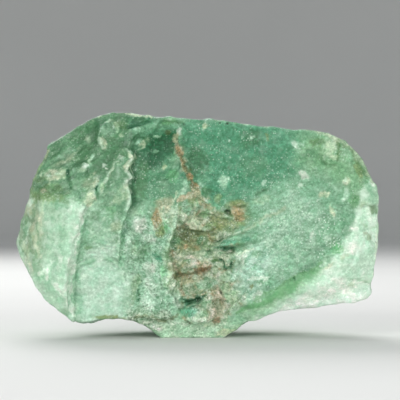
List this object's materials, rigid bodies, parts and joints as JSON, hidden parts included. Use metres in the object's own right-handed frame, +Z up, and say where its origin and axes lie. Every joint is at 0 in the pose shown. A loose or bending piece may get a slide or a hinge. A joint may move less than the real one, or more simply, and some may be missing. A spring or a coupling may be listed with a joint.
{
  "type": "raw aventurine",
  "caption": "Rough broken lump of green aventurine with stepped ledges, a stained hollow, a shell-shaped break and a small flat foot to stand on.",
  "frame": {"origin": "centre of the underside of the bounding box, level with the flat foot", "axes": "+Z up, +X to the right along the stone's length as its broad fresh face is looked at, +Y through its thickness away from that face"},
  "size_m": [0.1782, 0.0852, 0.1112],
  "materials": {
    "aventurine": "rough"
  },
  "bodies": {
    "root": {"aventurine_stone": "aventurine"}
  },
  "joints": []
}
